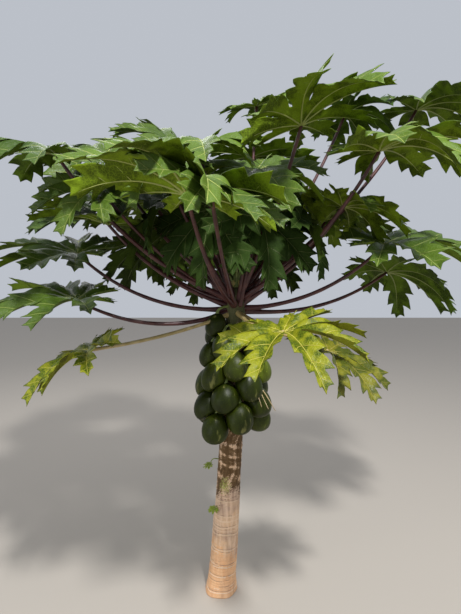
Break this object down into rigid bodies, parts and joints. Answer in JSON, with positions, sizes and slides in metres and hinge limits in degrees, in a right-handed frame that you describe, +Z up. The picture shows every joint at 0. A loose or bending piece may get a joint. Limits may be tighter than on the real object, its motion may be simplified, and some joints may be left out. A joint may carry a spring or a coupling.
{
  "type": "papaya tree",
  "caption": "Young papaya tree in fruit: a single ringed trunk, long arching leaf stalks with deeply lobed blades, and green fruit packed round the trunk under the crown.",
  "frame": {"origin": "middle of the flat cut under the trunk, at ground level", "axes": "+Z up along the trunk, +X the side that the trunk leans to, -Y the side seen in the picture"},
  "size_m": [2.3871, 2.0723, 2.4887],
  "materials": {
    "bark": "matte",
    "stalk": "satin",
    "old_stalk": "satin",
    "leaf": "satin",
    "old_leaf": "satin",
    "fruit": "satin",
    "young_shoots": "satin"
  },
  "bodies": {
    "root": {"trunk": "bark", "growing_tip": "young_shoots", "leaf_stalk_01": "stalk", "leaf_stalk_02": "stalk", "leaf_stalk_03": "stalk", "leaf_stalk_04": "old_stalk", "leaf_stalk_05": "stalk", "leaf_stalk_06": "stalk", "leaf_stalk_07": "stalk", "leaf_stalk_08": "stalk", "leaf_stalk_09": "stalk", "leaf_stalk_10": "stalk", "leaf_stalk_11": "old_stalk", "leaf_stalk_12": "old_stalk", "leaf_stalk_13": "stalk", "leaf_stalk_14": "stalk", "leaf_stalk_15": "stalk", "leaf_stalk_16": "stalk", "leaf_stalk_17": "stalk", "leaf_stalk_18": "stalk", "leaf_stalk_19": "stalk", "leaf_stalk_20": "stalk", "leaf_stalk_21": "stalk", "leaf_stalk_22": "stalk", "leaf_stalk_23": "stalk", "leaf_stalk_24": "stalk", "leaf_stalk_25": "stalk", "leaf_stalk_26": "stalk", "leaf_stalk_27": "stalk", "leaf_01": "leaf", "leaf_02": "leaf", "leaf_03": "leaf", "leaf_04": "old_leaf", "leaf_05": "leaf", "leaf_06": "leaf", "leaf_07": "leaf", "leaf_08": "leaf", "leaf_09": "leaf", "leaf_10": "leaf", "leaf_11": "old_leaf", "leaf_12": "old_leaf", "leaf_13": "leaf", "leaf_14": "leaf", "leaf_15": "leaf", "leaf_16": "leaf", "leaf_17": "leaf", "leaf_18": "leaf", "leaf_19": "leaf", "leaf_20": "leaf", "leaf_21": "leaf", "leaf_22": "leaf", "leaf_23": "leaf", "leaf_24": "leaf", "leaf_25": "leaf", "leaf_26": "leaf", "leaf_27": "leaf", "fruit_group_01": "fruit", "fruit_group_02": "fruit", "fruit_group_03": "fruit"}
  },
  "joints": []
}
